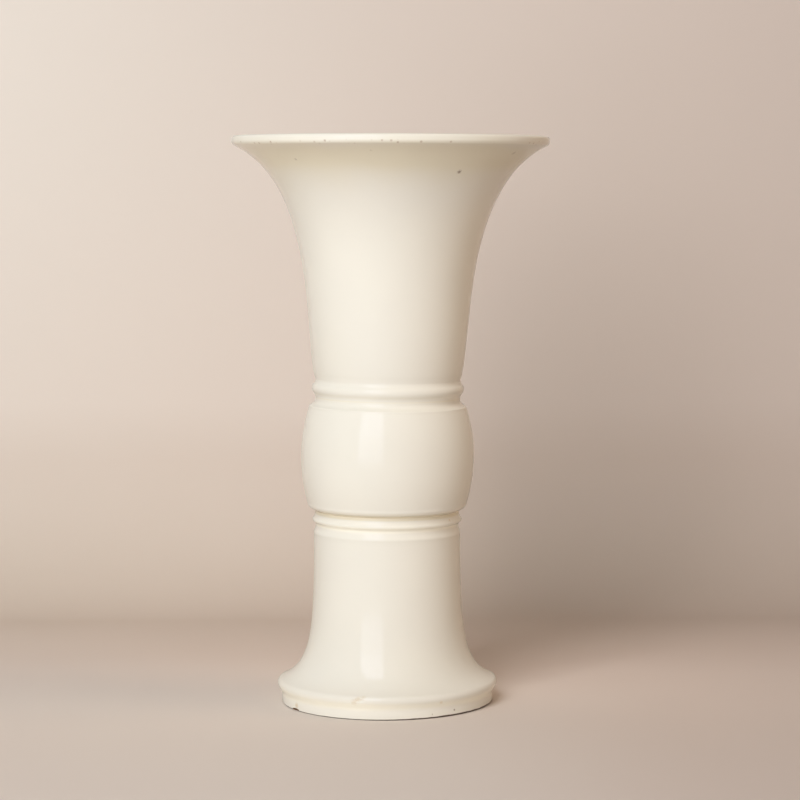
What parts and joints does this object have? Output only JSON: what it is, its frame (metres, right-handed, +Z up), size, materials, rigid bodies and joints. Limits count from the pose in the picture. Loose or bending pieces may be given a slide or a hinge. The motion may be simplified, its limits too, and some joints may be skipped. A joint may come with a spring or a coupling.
{
  "type": "porcelain gu vase",
  "caption": "Cream porcelain beaker vase of the gu form: a trumpet neck, a barrel belly between turned ridges, and a spreading foot on a straight standing band. Holds flower stems.",
  "frame": {"origin": "centre of the circle that the foot stands on, at the level of the standing face", "axes": "+Z up along the vase's axis, from the foot to the mouth; X and Y are alike"},
  "size_m": [0.142, 0.142, 0.2542],
  "materials": {
    "glazed_porcelain": "soft gloss cream glaze",
    "luting_slip": "matt fired slip",
    "base_porcelain": "glazed above, bare and matt underneath"
  },
  "bodies": {
    "root": {"neck_section": "glazed_porcelain", "upper_luting_seam": "luting_slip", "belly_section": "glazed_porcelain", "lower_luting_seam": "luting_slip", "foot_section": "glazed_porcelain", "base_disc": "base_porcelain", "base_luting_seam": "luting_slip"}
  },
  "joints": []
}
